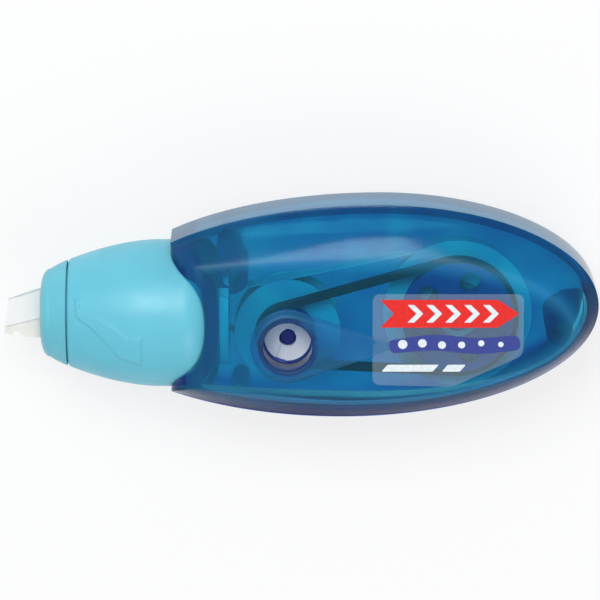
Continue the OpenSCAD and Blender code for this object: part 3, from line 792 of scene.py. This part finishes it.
def build_collar():
    n = 540
    x0 = SEAM_X + 0.1
    outer = [(x0, SEAM_R - 0.35), (x0 + 0.08, SEAM_R - 0.12), (x0 + 0.3, swell_r(x0 + 0.3) - 0.02)]
    k = 0
    x = x0 + 0.5
    while x < COLLAR_END - COLLAR_ROUND:
        outer.append((x, swell_r(x)))
        x += 0.17
    q = COLLAR_ROUND
    outer += [(COLLAR_END - q + q * math.sin(math.radians(a)), COLLAR_R - q + q * math.cos(math.radians(a)))
              for a in range(0, 91, 5)]
    inner = [(COLLAR_END, 8.6), (COLLAR_END - 1.3, 8.6), (COLLAR_END - 1.5, 9.4), (33, 12.0), (30.4, 12.0), (30.4, 7.65),
             (28.4, 7.65), (28.4, 12.0), (24, swell_r(24) - 1.3), (18, swell_r(18) - 1.3), (13, swell_r(13) - 1.3),
             (12.9, 8.65), (x0, 8.65)]
    rings = []
    for j, (x, r) in enumerate(outer):
        ring = []
        for i in range(n):
            th = 2 * math.pi * i / n
            y, z = r * math.cos(th), r * math.sin(th)
            rr = r
            if z > 3 and 12.5 < x < 26 and -8 < y < 6.5:
                rr += 0.35 * smooth(-0.12, 0.28, edge_distance(x, y, ARROW))
            ring.append((x, rr * math.cos(th), rr * math.sin(th)))
        rings.append(ring)
    for x, r in inner:
        rings.append([(x, r * math.cos(2 * math.pi * i / n), r * math.sin(2 * math.pi * i / n)) for i in range(n)])
    ob = skin("collar_shell", rings, closed=True, soft=30)
    wear(TURQUOISE, ob)
    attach(ob, "collar")
    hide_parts("twist_collar")
    return ob


build_collar()


# ---------- nose sleeve ----------
def build_sleeve():
    flat_r, shoulder, end = 4.5, 8.0, SEAM_X - 0.1
    rnd = (shoulder - flat_r) / 2
    prof = [(NOSE_X, 0.02), (NOSE_X, flat_r - 0.3)]
    for a in range(0, 91, 6):
        t = math.radians(a)
        prof.append((NOSE_X + rnd * (1 - math.cos(t)), flat_r + (shoulder - flat_r) * math.sin(t)))
    for k in range(1, 8):
        t = k / 8
        prof.append((mix(NOSE_X + rnd, end, t), mix(shoulder, SEAM_R, t ** 0.85)))
    prof += [(end - 0.12, SEAM_R - 0.03), (end, SEAM_R - 0.2), (end, 8.5), (SKIRT_END - 0.2, 8.5), (SKIRT_END, 8.3),
             (SKIRT_END, 7.35), (10.0, 7.35), (NOSE_X + 1.2, 4.2), (NOSE_X + 1.2, 0.02)]
    ob = lathe("nose_shell", prof, n=220, soft=35)
    h, w = 1.7, 4.9
    plan = [(NOSE_X - 2, -w), (10.2, -w), (10.2, w), (NOSE_X - 2, w)]
    cut(ob, prism("slot_cut", plan, -h, h))
    wear(SLEEVE, ob)
    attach(ob, "nose")
    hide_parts("nose_sleeve")
    return ob


build_sleeve()


# ---------- CAD nodes that keep their shape ----------
def dress(node, material):
    ob = frame["nodes"][node]
    wear(material, ob)
    soften(ob, 30)


dress("nose_core", NATURAL)
dress("applicator_tip", MILKY)
dress("feed_tape", TAPE)
dress("return_tape", RIBBON)
dress("drive_belt", RUBBER)
dress("cam_ring", NATURAL)
dress("supply_spool", NATURAL)
dress("supply_flange", NATURAL)
dress("clutch_washer", FELT)
dress("supply_pulley", VIOLET)
dress("tape_roll", wound("roll_white", (0.86, 0.88, 0.88), (0.70, 0.78, 0.80), 900, C2))
dress("take_up_spool", NATURAL)
dress("take_up_flange", NATURAL)
dress("take_up_pulley", VIOLET)
dress("tension_hub", WHITE)
dress("used_tape_roll", wound("roll_ribbon", (0.60, 0.72, 0.78), (0.45, 0.6, 0.68), 900, C1))


# ---------- label ----------
def rounded(poly, r, n=6):
    """The polygon with its corners rounded to about r."""
    out = []
    m = len(poly)
    for i in range(m):
        p0, p1, p2 = Vector(poly[i - 1]), Vector(poly[i]), Vector(poly[(i + 1) % m])
        a, b = (p0 - p1), (p2 - p1)
        cut_off = min(r, a.length * 0.45, b.length * 0.45)
        a, b = p1 + a.normalized() * cut_off, p1 + b.normalized() * cut_off
        for k in range(n + 1):
            t = k / n
            q = a * (1 - t) ** 2 + p1 * 2 * t * (1 - t) + b * t * t
            out.append((q.x, q.y))
    return out


def printed(name, color, rough=0.3):
    """Printing ink: even colour with faint dots and a slight gloss."""
    t = Mat(name)
    dark = tuple(c * 0.9 for c in color)
    colour = t.blend(t.ramp(t.noise(1500, 2.0), 0.4, 0.6), color, dark)
    normal = t.bump(t.noise(700, 2.0), 0.004)
    return t.done(t.principled(colour, rough, normal))


def build_label():
    x0, x1 = span("label_film", 0)
    y0, y1 = span("label_film", 1)
    z0, z1 = span("label_film", 2)
    w, h = x1 - x0, y1 - y0

    def u(a, b):
        return (x0 + a * w, y0 + b * h)

    plan = rounded([u(0, 0.02), u(0.53, 0.0), u(1, 0.34), u(1, 1), u(0, 1)], 1.4)
    film = prism("label_clear", plan, z0 + 0.01, z1 - 0.03, bevel=0.03)
    t = Mat("film_clear")
    normal = t.bump(t.noise(120, 2.0), 0.02)
    solid = t.principled((0.75, 0.88, 0.92), 0.12, normal, IOR=1.45)
    wear(t.done(t.mixed(0.07, t.clear((0.97, 0.99, 1.0)), solid)), film)
    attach(film, "casing")
    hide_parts("label_film")

    red = printed("ink_red", (0.80, 0.016, 0.012))
    navy = printed("ink_navy", (0.035, 0.055, 0.30))
    white = printed("ink_white", (0.78, 0.86, 0.90))
    items = [("label_ribbon", red, [u(0.05, 0.94), u(0.83, 0.94), u(0.97, 0.79), u(0.83, 0.64), u(0.05, 0.64), u(0.14, 0.79)], 0.35, 0)]
    for k in range(5):
        a = 0.23 + 0.125 * k
        items.append((f"label_chevron_{k}", white,
                      [u(a, 0.885), u(a + 0.045, 0.885), u(a + 0.105, 0.79), u(a + 0.045, 0.695), u(a, 0.695), u(a + 0.06, 0.79)],
                      0.15, 1))
    items.append(("label_wave", navy, [u(0.10, 0.50), u(0.40, 0.57), u(0.70, 0.52), u(0.97, 0.56), u(0.985, 0.40),
                                       u(0.70, 0.35), u(0.40, 0.40), u(0.12, 0.36)], 2.2, 0))
    for k in range(6):
        c = u(0.2 + 0.13 * k, 0.46 + 0.012 * math.sin(1.9 * k))
        r = 0.85 - 0.07 * k
        items.append((f"label_dot_{k}", white,
                      [(c[0] + r * math.cos(a * math.pi / 8), c[1] + r * math.sin(a * math.pi / 8)) for a in range(16)], 0.2, 1))
    items.append(("label_stripe_long", white, [u(0.10, 0.24), u(0.44, 0.24), u(0.40, 0.165), u(0.06, 0.165)], 0.3, 0))
    items.append(("label_stripe_short", white, [u(0.50, 0.24), u(0.62, 0.24), u(0.58, 0.165), u(0.46, 0.165)], 0.3, 0))
    for name, ink, poly, r, layer in items:
        top = z1 - 0.015 + 0.012 * layer
        ob = prism(name, rounded(poly, r), z1 - 0.034, top)
        wear(ink, ob)
        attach(ob, "casing")


build_label()


# ---------- stage, camera, light ----------
def build_stage():
    size = 3.0
    mesh = bpy.data.meshes.new("floor")
    mesh.from_pydata([(-size, -size, 0), (size, -size, 0), (size, size, 0), (-size, size, 0)], [], [(0, 1, 2, 3)])
    floor = bpy.data.objects.new("floor", mesh)
    bpy.context.scene.collection.objects.link(floor)
    t = Mat("floor_pale")
    path = t.node("ShaderNodeLightPath")
    seen = t.math("MAXIMUM", path.outputs["Is Camera Ray"], path.outputs["Is Glossy Ray"])
    seen = t.math("MAXIMUM", seen, path.outputs["Is Transmission Ray"])
    matte = t.node("ShaderNodeBsdfDiffuse")
    matte.inputs["Color"].default_value = (0.86, 0.87, 0.88, 1)
    glow = t.node("ShaderNodeEmission")
    glow.inputs["Color"].default_value = (1, 1, 1, 1)
    wear(t.done(t.mixed(t.math("MULTIPLY", seen, 0.72), matte.outputs[0], glow.outputs[0])), floor)

    world = bpy.data.worlds.new("studio")
    bpy.context.scene.world = world
    world.use_nodes = True
    nt = world.node_tree
    nt.nodes.clear()
    out = nt.nodes.new("ShaderNodeOutputWorld")
    path = nt.nodes.new("ShaderNodeLightPath")
    top = nt.nodes.new("ShaderNodeMath")
    top.operation = "MAXIMUM"
    nt.links.new(path.outputs["Is Camera Ray"], top.inputs[0])
    nt.links.new(path.outputs["Is Transmission Ray"], top.inputs[1])
    soft = nt.nodes.new("ShaderNodeBackground")
    soft.inputs["Color"].default_value = (1, 1, 1, 1)
    soft.inputs["Strength"].default_value = 0.55
    white = nt.nodes.new("ShaderNodeBackground")
    white.inputs["Color"].default_value = (1, 1, 1, 1)
    white.inputs["Strength"].default_value = 1.0
    both = nt.nodes.new("ShaderNodeMixShader")
    nt.links.new(top.outputs[0], both.inputs[0])
    nt.links.new(soft.outputs[0], both.inputs[1])
    nt.links.new(white.outputs[0], both.inputs[2])
    nt.links.new(both.outputs[0], out.inputs[0])


def lamp(name, place, size, power):
    data = bpy.data.lights.new(name, "AREA")
    data.shape = "RECTANGLE"
    data.size, data.size_y = size
    data.energy = power
    ob = bpy.data.objects.new(name, data)
    bpy.context.scene.collection.objects.link(ob)
    ob.location = place
    aim = Vector((0, 0, 0.01)) - Vector(place)
    ob.rotation_euler = aim.to_track_quat("-Z", "Y").to_euler()
    return ob


def build_camera():
    data = bpy.data.cameras.new("camera")
    ob = bpy.data.objects.new("camera", data)
    bpy.context.scene.collection.objects.link(ob)
    bpy.context.scene.camera = ob
    tilt = math.radians(14.0)
    away = 0.9
    target = Vector(at(53.52, 2.33, 0.0))
    side = Vector((0, math.sin(tilt), math.cos(tilt)))
    ob.location = target + side * away
    ob.rotation_euler = (-tilt, 0, 0)
    data.sensor_width = 36.0
    data.lens = 36.0 * away / 0.1085
    data.clip_start, data.clip_end = 0.01, 10
    data.dof.use_dof = False


build_stage()
lamp("key", (-0.12, 0.45, 0.75), (0.5, 0.4), 4.2)
lamp("fill", (0.35, -0.5, 0.6), (0.5, 0.5), 1.4)
build_camera()
bpy.context.scene.view_settings.view_transform = "Standard"
